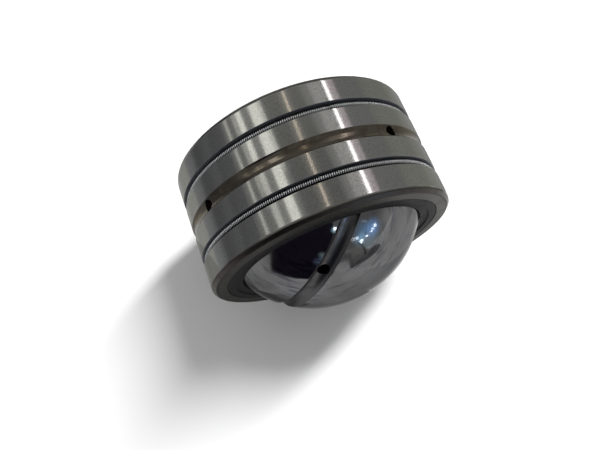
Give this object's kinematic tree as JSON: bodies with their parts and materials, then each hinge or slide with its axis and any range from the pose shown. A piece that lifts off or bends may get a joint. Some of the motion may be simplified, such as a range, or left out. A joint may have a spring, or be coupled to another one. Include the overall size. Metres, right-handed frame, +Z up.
{
  "type": "spherical plain bearing",
  "caption": "Large radial spherical plain bearing: an axially split outer ring held by garter springs, sealed at both ends, around a ball-shaped inner ring that turns freely.",
  "frame": {"origin": "centre of the ball, which is the centre of the whole bearing", "axes": "+Y along the outer ring's axis, away from the end that faces the viewer; +Z up with the bearing lying on its outer ring; +X to the right"},
  "size_m": [0.1498, 0.133, 0.1498],
  "materials": {
    "outer_ring_steel": "ground outside, dark and unground in the oil groove and on the chamfers",
    "spring_wire": "drawn wire, closely wound",
    "seal_rubber": "matt black",
    "ball_steel": "hard chromed and polished, with smudges and fine scratches"
  },
  "bodies": {
    "outer_ring": {"outer_ring_upper_half": "outer_ring_steel", "outer_ring_lower_half": "outer_ring_steel", "garter_spring_front": "spring_wire", "garter_spring_rear": "spring_wire", "seal_front": "seal_rubber", "seal_rear": "seal_rubber"},
    "ball": {"inner_ring": "ball_steel"}
  },
  "joints": [
    {"name": "ball_tilt", "type": "hinge", "parent": "outer_ring", "child": "ball", "pos_m": [0, 0, 0], "axis": [0.4571, 0, 0.8894], "continuous": true}
  ]
}
